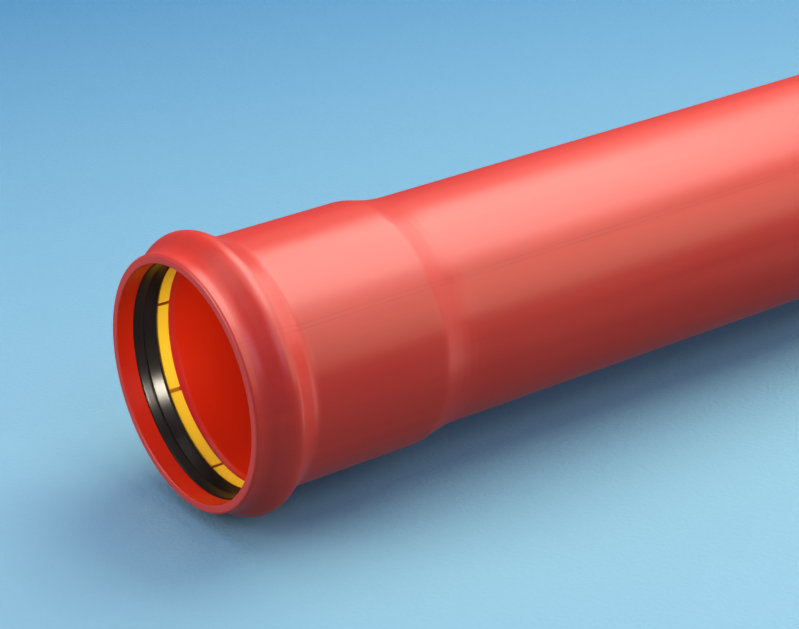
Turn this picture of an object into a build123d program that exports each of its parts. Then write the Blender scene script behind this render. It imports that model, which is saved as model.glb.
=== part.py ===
from build123d import *
from math import cos, radians, sin, tan
import os

# A socketed plastic cable conduit, in millimetres, with the two rings held in its socket.
# It lies along X: the plain end is at the origin, on the axis, and the socket's mouth faces +X.
# Conduits joined end to end stand one laying length apart.

# Barrel and plain end
barrel_radius = 55.0
wall = 3.4
laying_length = 1000.0
spigot_chamfer_length = 6.0
spigot_chamfer_angle = 15.0

# Socket: a bell formed from the barrel's own wall
socket_depth = 102.6
socket_clearance = 0.5
shoulder_angle = 14.0
shoulder_crest_rounding = 8.0
shoulder_foot_rounding = 75.0

# Mouth
lip_wall = 4.4
lip_outer_rounding = 1.4
lip_inner_chamfer = 0.5
lip_land_length = 8.6
lip_foot_rounding = 7.0

# Bead around the ring groove: its two flanks would meet in an edge, which the crest rounds off
bead_distance = 17.8
bead_height = 7.3
bead_front_angle = 32.0
bead_rear_angle = 30.0
bead_crest_rounding = 6.0
bead_foot_rounding = 12.0

# Rubber sealing ring with two ribs: each slopes up towards the axis, so that a conduit slides over it,
# and falls away steeply behind
ring_clearance = 0.15
rib_squeeze = 0.8
rib_depth = 1.4
front_rib_ramp = 3.7
front_rib_width = 0.8
rib_back_length = 0.5
rear_rib_ramp = 4.2
rear_rib_width = 1.4
seal_tail_length = 2.1
seal_tail_depth = 1.2
seal_crest_width = 3.2

# Slit retaining ring behind the seal
retainer_width = 5.85
retainer_clearance = 0.3
retainer_edge_chamfer = 0.4
slit_count = 8
slit_width = 0.9
slit_depth = 1.6
first_slit_angle = 77.5

# Sizes that follow
mouth_x = laying_length + socket_depth
bore_radius = barrel_radius - wall
socket_radius = barrel_radius + socket_clearance
socket_outer_radius = socket_radius + wall
lip_outer_radius = socket_radius + lip_wall
bead_front_slope = tan(radians(bead_front_angle))
bead_rear_slope = tan(radians(bead_rear_angle))
bead_mean_angle = radians((bead_front_angle + bead_rear_angle) / 2)
bead_lean_angle = radians((bead_front_angle - bead_rear_angle) / 2)
bead_radius = socket_outer_radius + bead_height
bead_apex = bead_radius + bead_crest_rounding * (cos(bead_lean_angle) / cos(bead_mean_angle) - 1)
bead_front_foot = bead_distance - (bead_apex - lip_outer_radius) / bead_front_slope
bead_rear_foot = bead_distance + (bead_apex - socket_outer_radius) / bead_rear_slope
groove_distance = bead_distance + wall * sin(bead_lean_angle) / cos(bead_mean_angle)
groove_apex = bead_apex - wall * cos(bead_lean_angle) / cos(bead_mean_angle)
groove_front_slope = (groove_apex - socket_radius) / (groove_distance - lip_land_length)
groove_rear_foot = groove_distance + (groove_apex - socket_radius) / bead_rear_slope
shoulder_length = (socket_radius - bore_radius) / tan(radians(shoulder_angle))
shoulder_shift = wall * tan(radians(shoulder_angle / 2))
rib_radius = barrel_radius - rib_squeeze
rib_valley_radius = rib_radius + rib_depth
seal_front = lip_land_length + 2 * ring_clearance
front_rib_start = seal_front + front_rib_ramp
front_rib_end = front_rib_start + front_rib_width
rib_valley = front_rib_end + rib_back_length
rear_rib_start = rib_valley + rear_rib_ramp
rear_rib_end = rear_rib_start + rear_rib_width
seal_rear = rear_rib_end + seal_tail_length
seal_crest_front = groove_distance - seal_crest_width / 2
seal_crest_rear = groove_distance + seal_crest_width / 2
retainer_front = seal_rear + ring_clearance
retainer_rear = retainer_front + retainer_width
retainer_radius = barrel_radius + retainer_clearance


def at(distance, radius):
    """Profile point at this distance in from the mouth and this radius from the axis."""
    return (mouth_x - distance, radius)


def groove_radius(distance):
    """Radius of the ring groove's wall, less the rings' clearance, at this distance from the mouth."""
    if distance < groove_distance:
        wall_radius = socket_radius + (distance - lip_land_length) * groove_front_slope
    else:
        wall_radius = groove_apex - (distance - groove_distance) * bead_rear_slope
    return wall_radius - ring_clearance


def pipe_outside():
    """Outer profile from the lip's end face back to the plain end's face."""
    chamfer_drop = spigot_chamfer_length * tan(radians(spigot_chamfer_angle))
    corners = [
        at(0, socket_radius + lip_wall / 2),
        at(0, lip_outer_radius),
        at(bead_front_foot, lip_outer_radius),
        at(bead_distance, bead_apex),
        at(bead_rear_foot, socket_outer_radius),
        at(socket_depth + shoulder_shift, socket_outer_radius),
        at(socket_depth + shoulder_shift + shoulder_length, barrel_radius),
        (spigot_chamfer_length, barrel_radius),
        (0, barrel_radius - chamfer_drop),
    ]
    roundings = [
        lip_outer_rounding,
        lip_foot_rounding,
        bead_crest_rounding,
        bead_foot_rounding,
        shoulder_crest_rounding,
        shoulder_foot_rounding,
        0,
    ]
    return FilletPolyline(*corners, radius=roundings)


def pipe_inside():
    """Inner profile from the lip's end face back to the plain end's face."""
    corners = [
        at(0, socket_radius + lip_wall / 2),
        at(0, socket_radius + lip_inner_chamfer),
        at(lip_inner_chamfer, socket_radius),
        at(lip_land_length, socket_radius),
        at(groove_distance, groove_apex),
        at(groove_rear_foot, socket_radius),
        at(socket_depth, socket_radius),
        at(socket_depth + shoulder_length, bore_radius),
        (0, bore_radius),
    ]
    roundings = [
        0,
        0,
        0,
        bead_crest_rounding - wall,
        bead_foot_rounding + wall,
        shoulder_crest_rounding - wall,
        shoulder_foot_rounding + wall,
    ]
    return FilletPolyline(*corners, radius=roundings)


# Pipe: barrel, shoulder, socket and bead, drawn as one belled wall
with BuildPart() as pipe:
    with BuildSketch(Plane.XY):
        with BuildLine():
            outside = pipe_outside()
            inside = pipe_inside()
            Line(outside @ 1, inside @ 1)
        make_face()
    revolve(axis=Axis.X)

# Sealing ring: fills the front and crest of the groove, with two ribs towards the axis
with BuildPart() as sealing_ring:
    with BuildSketch(Plane.XY):
        with BuildLine():
            Polyline(
                at(seal_front, groove_radius(seal_front)),
                at(front_rib_start, rib_radius),
                at(front_rib_end, rib_radius),
                at(rib_valley, rib_valley_radius),
                at(rear_rib_start, rib_radius),
                at(rear_rib_end, rib_radius),
                at(seal_rear, rib_radius + seal_tail_depth),
                at(seal_rear, groove_radius(seal_rear)),
                at(seal_crest_rear, groove_radius(seal_crest_rear)),
                at(seal_crest_front, groove_radius(seal_crest_front)),
                close=True,
            )
        make_face()
    revolve(axis=Axis.X)

# Retaining ring: wedged in the rear of the groove, slit from inside so that it can flex
with BuildPart() as retaining_ring:
    with BuildSketch(Plane.XY):
        with BuildLine():
            Polyline(
                at(retainer_front, retainer_radius),
                at(retainer_front, groove_radius(retainer_front)),
                at(retainer_rear, groove_radius(retainer_rear)),
                at(retainer_rear, retainer_radius),
                close=True,
            )
        make_face()
        chamfer(vertices().group_by(Axis.Y)[0], length=retainer_edge_chamfer)
    revolve(axis=Axis.X)
    slit_length = 2 * retainer_width
    slit_centre = mouth_x - (retainer_front + retainer_rear) / 2
    slit_plane = Plane(origin=(slit_centre, 0, 0), x_dir=(0, 1, 0), z_dir=(1, 0, 0))
    with BuildSketch(slit_plane.offset(-slit_length / 2)):
        with PolarLocations(retainer_radius, slit_count, start_angle=first_slit_angle):
            Rectangle(2 * slit_depth, slit_width)
    extrude(amount=slit_length, mode=Mode.SUBTRACT)

os.makedirs("parts", exist_ok=True)

pipe.part.label = "pipe"
export_step(pipe.part, "parts/pipe.step")

sealing_ring.part.label = "sealing_ring"
export_step(sealing_ring.part, "parts/sealing_ring.step")

retaining_ring.part.label = "retaining_ring"
export_step(retaining_ring.part, "parts/retaining_ring.step")
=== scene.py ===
from math import acos, ceil, cos, pi, radians, sin, tan

import bmesh
import bpy
from mathutils import Matrix, Vector


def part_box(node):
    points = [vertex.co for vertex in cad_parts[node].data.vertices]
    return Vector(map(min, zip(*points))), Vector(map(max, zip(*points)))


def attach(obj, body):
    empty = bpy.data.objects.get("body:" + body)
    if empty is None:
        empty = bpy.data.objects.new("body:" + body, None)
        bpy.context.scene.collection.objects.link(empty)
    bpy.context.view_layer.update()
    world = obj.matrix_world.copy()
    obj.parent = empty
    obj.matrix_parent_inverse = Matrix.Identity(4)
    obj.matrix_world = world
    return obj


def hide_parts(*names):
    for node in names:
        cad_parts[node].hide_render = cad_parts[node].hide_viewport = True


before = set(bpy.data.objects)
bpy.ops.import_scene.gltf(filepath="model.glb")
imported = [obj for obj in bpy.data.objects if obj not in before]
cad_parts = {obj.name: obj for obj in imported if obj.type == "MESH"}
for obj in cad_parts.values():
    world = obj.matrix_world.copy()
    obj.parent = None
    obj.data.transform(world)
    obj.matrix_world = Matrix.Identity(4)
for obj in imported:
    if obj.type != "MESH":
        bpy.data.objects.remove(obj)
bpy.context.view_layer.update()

# Sizes are in millimetres here, and meshes are made in metres
MM = 0.001

# The pipe's sizes
BARREL_RADIUS = 55.0
WALL = 3.4
SPIGOT_CHAMFER_LENGTH = 6.0
SPIGOT_CHAMFER_ANGLE = radians(15)
SOCKET_DEPTH = 102.6
SOCKET_CLEARANCE = 0.5
SHOULDER_ANGLE = radians(14)
SHOULDER_CREST_ROUNDING = 18.0
SHOULDER_FOOT_ROUNDING = 75.0
LIP_WALL = 4.4
LIP_OUTER_ROUNDING = 1.4
LIP_INNER_ROUNDING = 0.6
LIP_LAND_LENGTH = 8.6
LIP_FOOT_ROUNDING = 10.5
BEAD_DISTANCE = 17.3
BEAD_HEIGHT = 7.3
BEAD_FRONT_ANGLE = radians(38)
BEAD_REAR_ANGLE = radians(31.5)
BEAD_CREST_ROUNDING = 7.8
BEAD_FOOT_ROUNDING = 12.0
GROOVE_DISTANCE = 17.87
GROOVE_APEX = 63.23
GROOVE_REAR_ANGLE = radians(30)
GROOVE_CREST_ROUNDING = 2.6
GROOVE_FOOT_ROUNDING = 3.0
SAWN_EDGE_ROUNDING = 0.3

# The sealing ring: two ribs with a narrow channel between them, each sloping up towards the axis
RIB_RADIUS = 54.2
SEAL_NOSE_LENGTH = 0.5
FRONT_RIB_RISE = 1.0
FRONT_RIB_RAMP = 3.5
FRONT_RIB_WIDTH = 0.4
CHANNEL_DEPTH = 2.5
CHANNEL_WIDTH = 1.6
CHANNEL_SLANT = 0.35
REAR_RIB_RISE = 1.9
REAR_RIB_RAMP = 4.8
REAR_RIB_WIDTH = 0.6
SEAL_TAIL_DEPTH = 1.2
RIB_ROUNDING = 1.5
CHANNEL_ROUNDING = 0.2
SEAL_EDGE_ROUNDING = 0.8
RING_CLEARANCE = 0.15

# The retaining ring
RETAINER_RADIUS = 55.3
RETAINER_EDGE_ROUNDING = 0.4
SLIT_COUNT = 8
SLIT_WIDTH = 1.8
SLIT_DEPTH = 1.9
FIRST_SLIT_ANGLE = radians(77.5)

# Sizes that follow
MOUTH_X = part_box("pipe")[1][0] / MM
BORE_RADIUS = BARREL_RADIUS - WALL
SPIGOT_END_RADIUS = BARREL_RADIUS - SPIGOT_CHAMFER_LENGTH * tan(SPIGOT_CHAMFER_ANGLE)
SOCKET_RADIUS = BARREL_RADIUS + SOCKET_CLEARANCE
SOCKET_OUTER_RADIUS = SOCKET_RADIUS + WALL
LIP_OUTER_RADIUS = SOCKET_RADIUS + LIP_WALL
BEAD_RADIUS = SOCKET_OUTER_RADIUS + BEAD_HEIGHT
BEAD_MEAN_ANGLE = (BEAD_FRONT_ANGLE + BEAD_REAR_ANGLE) / 2
BEAD_LEAN_ANGLE = (BEAD_FRONT_ANGLE - BEAD_REAR_ANGLE) / 2
BEAD_SHARPNESS = cos(BEAD_LEAN_ANGLE) / cos(BEAD_MEAN_ANGLE)
BEAD_APEX = BEAD_RADIUS + BEAD_CREST_ROUNDING * (BEAD_SHARPNESS - 1)
BEAD_FRONT_FOOT = BEAD_DISTANCE - (BEAD_APEX - LIP_OUTER_RADIUS) / tan(BEAD_FRONT_ANGLE)
BEAD_REAR_FOOT = BEAD_DISTANCE + (BEAD_APEX - SOCKET_OUTER_RADIUS) / tan(BEAD_REAR_ANGLE)
GROOVE_FOOT = GROOVE_DISTANCE + (GROOVE_APEX - SOCKET_RADIUS) / tan(GROOVE_REAR_ANGLE)
GROOVE_FRONT_SLOPE = (GROOVE_APEX - SOCKET_RADIUS) / (GROOVE_DISTANCE - LIP_LAND_LENGTH)
SHOULDER_LENGTH = (SOCKET_RADIUS - BORE_RADIUS) / tan(SHOULDER_ANGLE)
SHOULDER_CREST = SOCKET_DEPTH + WALL * tan(SHOULDER_ANGLE / 2)

# How finely the shapes are divided
ARC_STEP = radians(4)
SUPPORT_MARGIN = 0.8
PIPE_STEPS = 360
RING_STEPS = 288
MERGE_DISTANCE = 0.001
SHARP_ANGLE = radians(25)


def at(distance, height):
    """Outline point this far in from the mouth and this high above the axis."""
    return Vector((MOUTH_X - distance, height))


def rounded(corners, roundings):
    """The line through the corners, with an arc of the given radius at each inner one."""
    points = [corners[0]]
    for before, corner, after, rounding in zip(corners, corners[1:], corners[2:], roundings):
        if rounding == 0:
            points.append(corner)
            continue
        back = (before - corner).normalized()
        ahead = (after - corner).normalized()
        half = acos(back.dot(ahead)) / 2
        turn = pi - 2 * half
        centre = corner + (back + ahead).normalized() * rounding / sin(half)
        start = corner + back * rounding / tan(half) - centre
        end = corner + ahead * rounding / tan(half) - centre
        count = max(2, ceil(turn / ARC_STEP))
        for i in range(count + 1):
            share = i / count
            spoke = start * sin((1 - share) * turn) + end * sin(share * turn)
            points.append(centre + spoke / sin(turn))
    points.append(corners[-1])
    return points


def supported(outline):
    """Adds a point near both ends of each long run, so that its shading stays even along it."""
    points = []
    for start, end in zip(outline, outline[1:] + outline[:1]):
        points.append(start)
        run = end - start
        if run.length > 4 * SUPPORT_MARGIN:
            margin = run.normalized() * SUPPORT_MARGIN
            points += [start + margin, end - margin]
    return points


def turned(name, sections):
    """A closed mesh through sections, each an angle about X and its outline.

    Where two sections stand at the same angle, the points that they share are merged.
    """
    vertices = []
    for angle, outline in sections:
        vertices += [(x * MM, r * cos(angle) * MM, r * sin(angle) * MM) for x, r in outline]
    size = len(sections[0][1])
    faces = []
    for section in range(len(sections)):
        here = section * size
        there = (section + 1) % len(sections) * size
        for point in range(size):
            following = (point + 1) % size
            faces.append((here + point, here + following, there + following, there + point))
    mesh = bpy.data.meshes.new(name)
    mesh.from_pydata(vertices, [], faces)
    form = bmesh.new()
    form.from_mesh(mesh)
    bmesh.ops.remove_doubles(form, verts=form.verts, dist=MERGE_DISTANCE * MM)
    bmesh.ops.recalc_face_normals(form, faces=form.faces)
    form.to_mesh(mesh)
    form.free()
    mesh.shade_smooth()
    mesh.set_sharp_from_angle(angle=SHARP_ANGLE)
    piece = bpy.data.objects.new(name, mesh)
    bpy.context.scene.collection.objects.link(piece)
    return piece


def all_round(outline, steps):
    """The same outline at even steps about the axis."""
    return [(2 * pi * i / steps, outline) for i in range(steps)]


def span_of(node):
    """Where a ring's node starts and ends, as distances in from the mouth."""
    low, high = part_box(node)
    return MOUTH_X - high[0] / MM, MOUTH_X - low[0] / MM


def groove_radius(distance):
    """Radius of the ring groove's wall, less the rings' clearance, this far in from the mouth."""
    if distance < GROOVE_DISTANCE:
        wall_radius = SOCKET_RADIUS + (distance - LIP_LAND_LENGTH) * GROOVE_FRONT_SLOPE
    else:
        wall_radius = GROOVE_APEX - (distance - GROOVE_DISTANCE) * tan(GROOVE_REAR_ANGLE)
    return wall_radius - RING_CLEARANCE


def pipe_outline():
    """Round the whole wall, from the middle of the lip's end face and back to it."""
    lip_middle = at(0, SOCKET_RADIUS + LIP_WALL / 2)
    end_middle = Vector((0, (SPIGOT_END_RADIUS + BORE_RADIUS) / 2))
    outside = rounded([
        lip_middle,
        at(0, LIP_OUTER_RADIUS),
        at(BEAD_FRONT_FOOT, LIP_OUTER_RADIUS),
        at(BEAD_DISTANCE, BEAD_APEX),
        at(BEAD_REAR_FOOT, SOCKET_OUTER_RADIUS),
        at(SHOULDER_CREST, SOCKET_OUTER_RADIUS),
        at(SHOULDER_CREST + SHOULDER_LENGTH, BARREL_RADIUS),
        Vector((SPIGOT_CHAMFER_LENGTH, BARREL_RADIUS)),
        Vector((0, SPIGOT_END_RADIUS)),
        end_middle,
    ], [
        LIP_OUTER_ROUNDING,
        LIP_FOOT_ROUNDING,
        BEAD_CREST_ROUNDING,
        BEAD_FOOT_ROUNDING,
        SHOULDER_CREST_ROUNDING,
        SHOULDER_FOOT_ROUNDING,
        SAWN_EDGE_ROUNDING,
        SAWN_EDGE_ROUNDING,
    ])
    inside = rounded([
        lip_middle,
        at(0, SOCKET_RADIUS),
        at(LIP_LAND_LENGTH, SOCKET_RADIUS),
        at(GROOVE_DISTANCE, GROOVE_APEX),
        at(GROOVE_FOOT, SOCKET_RADIUS),
        at(SOCKET_DEPTH, SOCKET_RADIUS),
        at(SOCKET_DEPTH + SHOULDER_LENGTH, BORE_RADIUS),
        Vector((0, BORE_RADIUS)),
        end_middle,
    ], [
        LIP_INNER_ROUNDING,
        SAWN_EDGE_ROUNDING,
        GROOVE_CREST_ROUNDING,
        GROOVE_FOOT_ROUNDING,
        SHOULDER_CREST_ROUNDING - WALL,
        SHOULDER_FOOT_ROUNDING + WALL,
        SAWN_EDGE_ROUNDING,
    ])
    return supported(outside + inside[-2:0:-1])


def seal_outline():
    """Round the seal, from a point on its back where no corner has to be rounded."""
    front, rear = span_of("sealing_ring")
    nose = front + SEAL_NOSE_LENGTH
    front_rib = nose + FRONT_RIB_RAMP
    channel = front_rib + FRONT_RIB_WIDTH
    rear_ramp = channel + CHANNEL_WIDTH
    rear_rib = rear_ramp + REAR_RIB_RAMP
    back_middle = (front + GROOVE_DISTANCE) / 2
    back = at(back_middle, groove_radius(back_middle))
    outline = rounded([
        back,
        at(front, groove_radius(front)),
        at(nose, RIB_RADIUS + FRONT_RIB_RISE),
        at(front_rib, RIB_RADIUS),
        at(channel, RIB_RADIUS),
        at(channel + CHANNEL_SLANT, RIB_RADIUS + CHANNEL_DEPTH),
        at(rear_ramp - CHANNEL_SLANT, RIB_RADIUS + CHANNEL_DEPTH),
        at(rear_ramp, RIB_RADIUS + REAR_RIB_RISE),
        at(rear_rib, RIB_RADIUS),
        at(rear_rib + REAR_RIB_WIDTH, RIB_RADIUS),
        at(rear, RIB_RADIUS + SEAL_TAIL_DEPTH),
        at(rear, groove_radius(rear)),
        at(GROOVE_DISTANCE, groove_radius(GROOVE_DISTANCE)),
        back,
    ], [
        0,
        RIB_ROUNDING / 2,
        RIB_ROUNDING,
        CHANNEL_ROUNDING,
        CHANNEL_ROUNDING,
        CHANNEL_ROUNDING,
        CHANNEL_ROUNDING,
        RIB_ROUNDING,
        RIB_ROUNDING / 2,
        SEAL_EDGE_ROUNDING,
        SEAL_EDGE_ROUNDING,
        GROOVE_CREST_ROUNDING,
    ])
    return supported(outline[:-1])


def retainer_outline():
    """Round the retaining ring, from the middle of its rear face."""
    front, rear = span_of("retaining_ring")
    rear_middle = at(rear, (RETAINER_RADIUS + groove_radius(rear)) / 2)
    outline = rounded([
        rear_middle,
        at(rear, RETAINER_RADIUS),
        at(front, RETAINER_RADIUS),
        at(front, groove_radius(front)),
        at(rear, groove_radius(rear)),
        rear_middle,
    ], [RETAINER_EDGE_ROUNDING] * 4)
    return supported(outline[:-1])


def retainer_sections():
    """Even sections between the slits, and two more at each slit, where the bore is cut back."""
    outline = retainer_outline()
    floor_radius = RETAINER_RADIUS + SLIT_DEPTH
    slit_outline = [Vector((x, max(r, floor_radius))) for x, r in outline]
    half_slit = SLIT_WIDTH / 2 / RETAINER_RADIUS
    pitch = 2 * pi / SLIT_COUNT
    steps = RING_STEPS // SLIT_COUNT
    sections = []
    for slit in range(SLIT_COUNT):
        middle = FIRST_SLIT_ANGLE + slit * pitch
        start = middle + half_slit
        end = middle + pitch - half_slit
        sections += [(start + (end - start) * i / steps, outline) for i in range(steps + 1)]
        sections += [(end, slit_outline), (end + 2 * half_slit, slit_outline)]
    return sections


# Colours of the pieces, in linear light
PIPE_RED = (0.51, 0.026, 0.008, 1)
PIPE_BAND = (0.46, 0.021, 0.006, 1)
PIPE_PATCH = (0.55, 0.042, 0.015, 1)
PIPE_SCUFF = (0.40, 0.022, 0.012, 1)
PIPE_DIE_LINE = (0.26, 0.012, 0.008, 1)
# Painted bounce light: the bore is a deeper red, standing in for light bounced round inside it
PIPE_BORE_PAINTED_BOUNCE = (0.57, 0.018, 0.003, 1)
# Painted light: the end faces are paler, standing in for the light and floor reflection they catch
PIPE_END_PAINTED_SHEEN = (0.57, 0.050, 0.032, 1)
SEAL_BLACK = (0.003, 0.003, 0.003, 1)
SEAL_PALER_BLACK = (0.006, 0.005, 0.005, 1)
RING_YELLOW = (0.98, 0.64, 0.030, 1)
RING_DEEPER_YELLOW = (0.95, 0.58, 0.025, 1)
# Painted shade deep in the ring's slits
RING_SLIT_PAINTED_SHADE = (0.50, 0.14, 0.012, 1)

# Gloss of the pieces
PIPE_ROUGHNESS = (0.31, 0.37)
PIPE_LINE_ROUGHNESS = (-0.025, 0.025)
PIPE_SCUFF_ROUGHNESS = 0.06
SEAL_ROUGHNESS = (0.20, 0.25)
SEAL_SPECULAR = 0.14
RING_ROUGHNESS = (0.26, 0.34)

# The pipe's marks: the part of each noise that shows, how strongly it shows, and its relief
PATCH_RANGE = (0.45, 0.75)
PATCH_SHARE = (0.0, 0.4)
SCUFF_RANGE = (0.60, 0.78)
SCUFF_SHARE = 0.25
DIE_LINE_FADE_RANGE = (0.35, 0.65)
DIE_LINE_FADE = (0.15, 1.0)
DIE_LINE_SHARE = 0.65
DIE_LINE_DEPTH = 0.8
FINE_LINE_HEIGHT = 0.3

# Where the looks change: two thin lines that the die left along the pipe, how far a surface has to face
# the axis or the ends to take its painted light, and how deep in a slit its painted shade starts and is
# full
DIE_LINE_ANGLES = (radians(38.2), radians(40.3))
DIE_LINE_WIDTH = 0.35
INWARD_LIMIT = -0.02
END_FACE_NORMAL = (0.7, 0.9)
SLIT_SHADE_DEPTHS = (0.3, 0.9)

# Stretches and directions, and the range that most of a noise lies in
EVEN = (1.0, 1.0, 1.0)
ONLY_ALONG = (1.0, 0.0, 0.0)
ACROSS = (0, 1, 1)
NOISE_RANGE = (0.3, 0.7)


def add(tree, kind, inputs=None, **settings):
    """A shader node with its settings made, and its inputs set or linked."""
    node = tree.nodes.new(kind)
    for key, value in settings.items():
        setattr(node, key, value)
    for key, value in (inputs or {}).items():
        if isinstance(value, bpy.types.NodeSocket):
            tree.links.new(value, node.inputs[key])
        else:
            node.inputs[key].default_value = value
    return node


def position(tree):
    """Position in the object's own space, in metres."""
    return add(tree, "ShaderNodeTexCoord").outputs["Object"]


def surface_normal(tree):
    """The surface's direction in the object's own space."""
    return add(tree, "ShaderNodeTexCoord").outputs["Normal"]


def noise(tree, stretch, scale, detail, rough=0.55):
    """Noise in the object's own space, drawn out along each axis by the stretch."""
    drawn = add(tree, "ShaderNodeMapping", {"Vector": position(tree), "Scale": stretch})
    made = add(tree, "ShaderNodeTexNoise", {
        "Vector": drawn.outputs["Vector"],
        "Scale": scale,
        "Detail": detail,
        "Roughness": rough,
    })
    return made.outputs["Fac"]


def carried(tree, value, old, new=(0.0, 1.0)):
    """The value carried over from the old range to the new one, and held within it."""
    made = add(tree, "ShaderNodeMapRange", {
        "Value": value,
        "From Min": old[0],
        "From Max": old[1],
        "To Min": new[0],
        "To Max": new[1],
    })
    return made.outputs["Result"]


def blend(tree, share, first, second):
    """The first colour, turning into the second as the share grows to one."""
    made = add(tree, "ShaderNodeMix", {0: share, 6: first, 7: second}, data_type="RGBA")
    return made.outputs[2]


def calculate(tree, operation, *values):
    """The operation's result on one or two values."""
    made = add(tree, "ShaderNodeMath", dict(enumerate(values)), operation=operation)
    return made.outputs[0]


def reach(tree, direction):
    """How far the place lies along a direction, in metres."""
    inputs = {0: position(tree), 1: direction}
    return add(tree, "ShaderNodeVectorMath", inputs, operation="DOT_PRODUCT").outputs["Value"]


def spoke(tree):
    """The way straight out from the pipe's axis to the place, in metres."""
    inputs = {0: position(tree), 1: ACROSS}
    return add(tree, "ShaderNodeVectorMath", inputs, operation="MULTIPLY").outputs["Vector"]


def axis_distance(tree):
    """Distance from the pipe's axis, in metres."""
    return add(tree, "ShaderNodeVectorMath", {0: spoke(tree)}, operation="LENGTH").outputs["Value"]


def die_line(tree, angle):
    """One on a thin line along the pipe's outside at this angle about its axis, else nought."""
    aside = calculate(tree, "ABSOLUTE", reach(tree, (0, sin(angle), -cos(angle))))
    near_side = calculate(tree, "GREATER_THAN", reach(tree, (0, cos(angle), sin(angle))), 0.0)
    line = carried(tree, aside, (0.0, DIE_LINE_WIDTH * MM), (1.0, 0.0))
    return calculate(tree, "MULTIPLY", near_side, line)


def inward(tree):
    """One where the surface faces the axis, else nought."""
    inputs = {0: surface_normal(tree), 1: spoke(tree)}
    facing = add(tree, "ShaderNodeVectorMath", inputs, operation="DOT_PRODUCT")
    return calculate(tree, "LESS_THAN", facing.outputs["Value"], INWARD_LIMIT)


def end_face(tree):
    """One on the two end faces, and nought on what faces away from the axis or towards it."""
    along = add(tree, "ShaderNodeSeparateXYZ", {0: surface_normal(tree)}).outputs["X"]
    return carried(tree, calculate(tree, "ABSOLUTE", along), END_FACE_NORMAL)


def surface(name):
    """A new material, its tree and its shader."""
    material = bpy.data.materials.new(name)
    material.use_nodes = True
    return material, material.node_tree, material.node_tree.nodes["Principled BSDF"]


def connect(tree, shader, colour, rough=None):
    """Links the shader's colour, and its roughness where that varies."""
    tree.links.new(colour, shader.inputs["Base Color"])
    if rough is not None:
        tree.links.new(rough, shader.inputs["Roughness"])


def emboss(tree, shader, relief, strength, depth):
    """Bumps the surface by a relief, to this depth in millimetres."""
    bump = add(tree, "ShaderNodeBump", {
        "Height": relief,
        "Strength": strength,
        "Distance": depth * MM,
    })
    tree.links.new(bump.outputs["Normal"], shader.inputs["Normal"])


def pipe_look():
    """Brick-red extruded plastic: satin, with die lines and dull scuffs; painted light makes its end
    faces paler and its bore a deeper red.
    """
    material, tree, shader = surface("pipe_look")
    lines = noise(tree, (0.02, 1.0, 1.0), scale=700.0, detail=2.0)
    bands = noise(tree, (0.015, 1.0, 1.0), scale=130.0, detail=3.0)
    patches = noise(tree, (0.35, 1.0, 1.0), scale=16.0, detail=5.0)
    scuffs = noise(tree, (0.25, 1.0, 1.0), scale=90.0, detail=5.0, rough=0.7)
    scuffs = carried(tree, scuffs, SCUFF_RANGE)
    fade = noise(tree, ONLY_ALONG, scale=25.0, detail=3.0)
    fade = carried(tree, fade, DIE_LINE_FADE_RANGE, DIE_LINE_FADE)
    marks = calculate(tree, "MAXIMUM", *[die_line(tree, angle) for angle in DIE_LINE_ANGLES])
    marks = calculate(tree, "MULTIPLY", fade, marks)

    colour = blend(tree, carried(tree, bands, NOISE_RANGE), PIPE_RED, PIPE_BAND)
    colour = blend(tree, carried(tree, patches, PATCH_RANGE, PATCH_SHARE), colour, PIPE_PATCH)
    colour = blend(tree, calculate(tree, "MULTIPLY", scuffs, SCUFF_SHARE), colour, PIPE_SCUFF)
    colour = blend(tree, calculate(tree, "MULTIPLY", marks, DIE_LINE_SHARE), colour, PIPE_DIE_LINE)
    # Painted bounce light: where the surface faces the axis it is painted a deeper red
    colour = blend(tree, inward(tree), colour, PIPE_BORE_PAINTED_BOUNCE)
    # Painted light: the end faces are painted paler
    colour = blend(tree, end_face(tree), colour, PIPE_END_PAINTED_SHEEN)

    broad = carried(tree, patches, NOISE_RANGE, PIPE_ROUGHNESS)
    fine = carried(tree, lines, NOISE_RANGE, PIPE_LINE_ROUGHNESS)
    dull = calculate(tree, "MULTIPLY", scuffs, PIPE_SCUFF_ROUGHNESS)
    rough = calculate(tree, "ADD", calculate(tree, "ADD", broad, fine), dull)
    connect(tree, shader, colour, rough)

    raised = calculate(tree, "MULTIPLY", lines, FINE_LINE_HEIGHT)
    sunk = calculate(tree, "MULTIPLY", marks, DIE_LINE_DEPTH)
    relief = calculate(tree, "SUBTRACT", calculate(tree, "ADD", raised, bands), sunk)
    emboss(tree, shader, relief, strength=0.25, depth=0.1)
    return material


def seal_look():
    """Black rubber under a film of lubricant."""
    material, tree, shader = surface("seal_look")
    film = noise(tree, EVEN, scale=60.0, detail=4.0)
    colour = blend(tree, film, SEAL_BLACK, SEAL_PALER_BLACK)
    connect(tree, shader, colour, carried(tree, film, NOISE_RANGE, SEAL_ROUGHNESS))
    shader.inputs["Specular IOR Level"].default_value = SEAL_SPECULAR
    emboss(tree, shader, film, strength=0.15, depth=0.3)
    return material


def ring_look():
    """Smooth yellow moulded plastic, with painted shade in its slits."""
    material, tree, shader = surface("ring_look")
    cloud = noise(tree, EVEN, scale=40.0, detail=3.0)
    colour = blend(tree, cloud, RING_YELLOW, RING_DEEPER_YELLOW)
    slit_painted_shade_range = [(RETAINER_RADIUS + depth) * MM for depth in SLIT_SHADE_DEPTHS]
    # Painted shade: a darker orange deep in the slits, where shade falls
    colour = blend(tree, carried(tree, axis_distance(tree), slit_painted_shade_range), colour, RING_SLIT_PAINTED_SHADE)
    connect(tree, shader, colour, carried(tree, cloud, NOISE_RANGE, RING_ROUGHNESS))
    return material


def dress(piece, node, material):
    """The piece stands for a node of the frame and fills one of its material slots."""
    piece.data.materials.append(material)
    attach(piece, "root")
    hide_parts(node)


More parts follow.
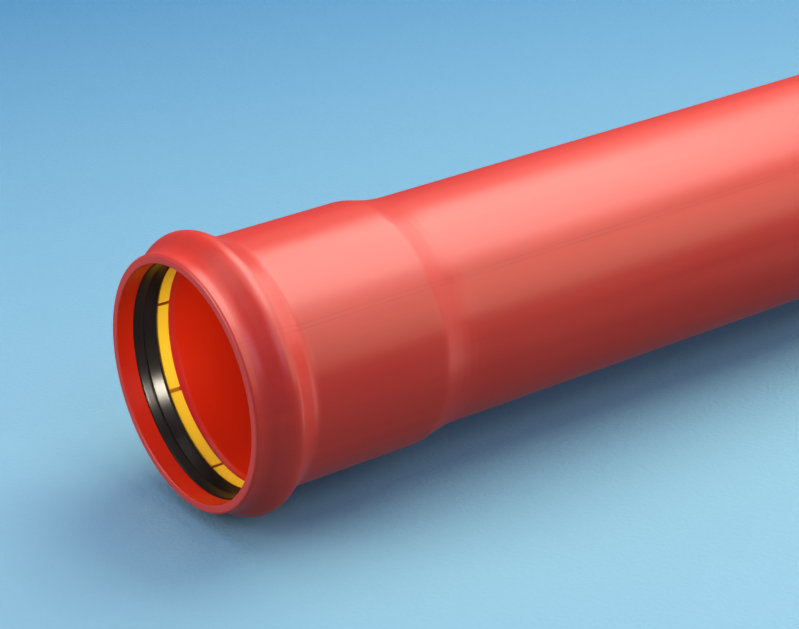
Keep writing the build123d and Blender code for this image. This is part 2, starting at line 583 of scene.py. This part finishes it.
pipe = turned("conduit_pipe", all_round(pipe_outline(), PIPE_STEPS))
dress(pipe, "pipe", pipe_look())
seal = turned("rubber_seal", all_round(seal_outline(), RING_STEPS))
dress(seal, "sealing_ring", seal_look())
retainer = turned("slit_retainer", retainer_sections())
dress(retainer, "retaining_ring", ring_look())

# Camera: found from the outlines of the mouth, bead and barrel in the photograph
CAMERA_FROM_MOUTH = (543.49, 904.53, 551.51)
CAMERA_YAW = radians(53.7666)
CAMERA_PITCH = radians(26.1792)
FOCAL_PIXELS = 2685.1
IMAGE_WIDTH = 799
SENSOR_WIDTH = 36.0

# Floor: painted light, its colour brightening from the far side to the near one, between two reaches in
# metres
FLOOR_HALF = 8.0
FLOOR_LEVEL = -BEAD_RADIUS * MM
FLOOR_NEAR_PAINTED_BRIGHT = (0.176, 0.350, 0.382, 1)
FLOOR_FAR_PAINTED_DIM = (0.056, 0.188, 0.282, 1)
FLOOR_PAINTED_FALLOFF_DIRECTION = (0.37, 0.93, 0)
FLOOR_PAINTED_FALLOFF = (-0.30, 0.36)
FLOOR_ROUGHNESS = 0.8
FLOOR_SPECULAR = 0.2

# Lights: what the softboxes stand around, in metres, and the colours of lamps and air
MOUTH = Vector((MOUTH_X * MM, 0, 0))
SUBJECT = Vector((0.95, 0, 0))
WARM = (1.0, 0.98, 0.88)
COOL = (0.85, 0.92, 1.30)
AMBER = (1.0, 0.98, 0.66)
SUNNY = (1.0, 0.92, 0.74)
AIR_LIGHT = (0.20, 0.21, 0.74, 1)
AIR_REFLECTED = (0.12, 0.12, 0.17, 1)
AIR_SEEN = (0.52, 0.64, 0.74, 1)


def make_camera():
    """The photograph's camera, placed from the centre of the mouth."""
    camera = bpy.data.objects.new("camera", bpy.data.cameras.new("camera"))
    camera.data.sensor_width = SENSOR_WIDTH
    camera.data.lens = FOCAL_PIXELS * SENSOR_WIDTH / IMAGE_WIDTH
    level = cos(CAMERA_PITCH)
    look = Vector((-level * cos(CAMERA_YAW), -level * sin(CAMERA_YAW), -sin(CAMERA_PITCH)))
    spot = (Vector((MOUTH_X, 0, 0)) + Vector(CAMERA_FROM_MOUTH)) * MM
    turn = look.to_track_quat("-Z", "Y").to_matrix().to_4x4()
    camera.matrix_world = Matrix.Translation(spot) @ turn
    bpy.context.scene.collection.objects.link(camera)
    bpy.context.scene.camera = camera


def make_floor():
    """A matt floor under the bead, with a faint grain and painted light that brightens it towards the
    near side. Reflections leave it out.
    """
    mesh = bpy.data.meshes.new("floor")
    turns = [(-1, -1), (1, -1), (1, 1), (-1, 1)]
    corners = [(x * FLOOR_HALF, y * FLOOR_HALF, FLOOR_LEVEL) for x, y in turns]
    mesh.from_pydata(corners, [], [(0, 1, 2, 3)])
    material, tree, shader = surface("floor")
    # Painted light: the floor's colour brightens from the far side to the near one
    share = carried(tree, reach(tree, FLOOR_PAINTED_FALLOFF_DIRECTION), FLOOR_PAINTED_FALLOFF)
    connect(tree, shader, blend(tree, share, FLOOR_FAR_PAINTED_DIM, FLOOR_NEAR_PAINTED_BRIGHT))
    grain = noise(tree, EVEN, scale=420.0, detail=4.0, rough=0.6)
    emboss(tree, shader, grain, strength=0.6, depth=0.8)
    shader.inputs["Roughness"].default_value = FLOOR_ROUGHNESS
    shader.inputs["Specular IOR Level"].default_value = FLOOR_SPECULAR
    mesh.materials.append(material)
    floor = bpy.data.objects.new("floor", mesh)
    floor.visible_glossy = False
    bpy.context.scene.collection.objects.link(floor)


def lamp(name, spot, back, size, radiance, colour):
    """A rectangular light of even radiance, with its back turned this way and one side level."""
    light = bpy.data.lights.new(name, "AREA")
    light.shape = "RECTANGLE"
    light.size, light.size_y = size
    light.energy = radiance * pi * size[0] * size[1]
    light.color = colour
    holder = bpy.data.objects.new(name, light)
    level = Vector((-back.y, back.x, 0)).normalized()
    turn = Matrix((level, back.cross(level), back)).transposed().to_4x4()
    holder.matrix_world = Matrix.Translation(spot) @ turn
    bpy.context.scene.collection.objects.link(holder)
    return holder


def softbox(name, azimuth, elevation, distance, size, radiance, colour, target=SUBJECT):
    """A lamp this far from its target, seen from it at an azimuth from +X towards +Y, in degrees."""
    level = cos(radians(elevation))
    heading = radians(azimuth)
    back = Vector((level * cos(heading), level * sin(heading), sin(radians(elevation))))
    return lamp(name, target + back * distance, back, size, radiance, colour)


def reflect_only(holder):
    """Keeps the lamp's light to reflections."""
    holder.visible_diffuse = False


def light_only(holder, piece):
    """Keeps the lamp's light off everything but this piece."""
    lit = bpy.data.collections.new(holder.name)
    lit.objects.link(piece)
    holder.light_linking.receiver_collection = lit


def inner_fill(name, nearest, farthest, width, offset, tilt, spread, radiance):
    """An unseen strip in the socket, between two distances from the mouth, that lights the far wall.

    It stands off the axis by its offset, to the near side and up by the tilt.
    """
    back = Vector((0, cos(tilt), sin(tilt)))
    spot = (at((nearest + farthest) / 2, 0).to_3d() + back * offset) * MM
    size = ((farthest - nearest) * MM, width * MM)
    fill = lamp(name, spot, back, size, radiance, WARM)
    fill.data.spread = spread
    fill.visible_camera = False
    fill.visible_glossy = False


def make_lights():
    """Softboxes by azimuth, elevation, distance, size, radiance and colour, then two inner fills."""
    softbox("key", 191, 59, 1.4, (1.5, 0.85), 5.7, WARM)
    softbox("top", 150, 86, 1.8, (1.3, 1.3), 1.8, WARM)
    softbox("far", 228, 28, 2.0, (1.0, 0.8), 0.5, WARM)
    softbox("side", 128, 28, 2.0, (1.0, 1.6), 2.6, AMBER)
    softbox("end", 192, 24, 2.0, (1.5, 1.45), 2.3, WARM)
    softbox("front", 342, 24, 1.8, (1.0, 1.0), 5.6, WARM)
    softbox("right", 322, 60, 1.8, (1.0, 1.0), 1.5, WARM)
    softbox("fill", 85, 40, 2.0, (1.2, 1.2), 1.55, COOL)
    reflect_only(softbox("crest_light", 130, 68, 1.8, (1.0, 1.0), 2.4, WARM))
    reflect_only(softbox("shoulder_light", 157, 0, 2.0, (0.75, 2.2), 1.4, WARM))
    light_only(softbox("rib_light", 74, 28, 1.2, (0.16, 0.34), 210, SUNNY, MOUTH), seal)
    inner_fill("ring_fill", 20, 32, 14, 10, radians(17), radians(90), 12.0)
    inner_fill("wall_fill", 30, 75, 20, 44, radians(18), pi, 10.8)


def make_air():
    """Even light from all round, less blue in reflections, and pale where the camera sees it."""
    world = bpy.data.worlds.new("studio")
    bpy.context.scene.world = world
    world.use_nodes = True
    air = world.node_tree
    ray = add(air, "ShaderNodeLightPath").outputs
    colour = blend(air, ray["Is Glossy Ray"], AIR_LIGHT, AIR_REFLECTED)
    colour = blend(air, ray["Is Camera Ray"], colour, AIR_SEEN)
    air.links.new(colour, air.nodes["Background"].inputs["Color"])


make_camera()
make_floor()
make_lights()
make_air()
bpy.context.scene.view_settings.view_transform = "Standard"
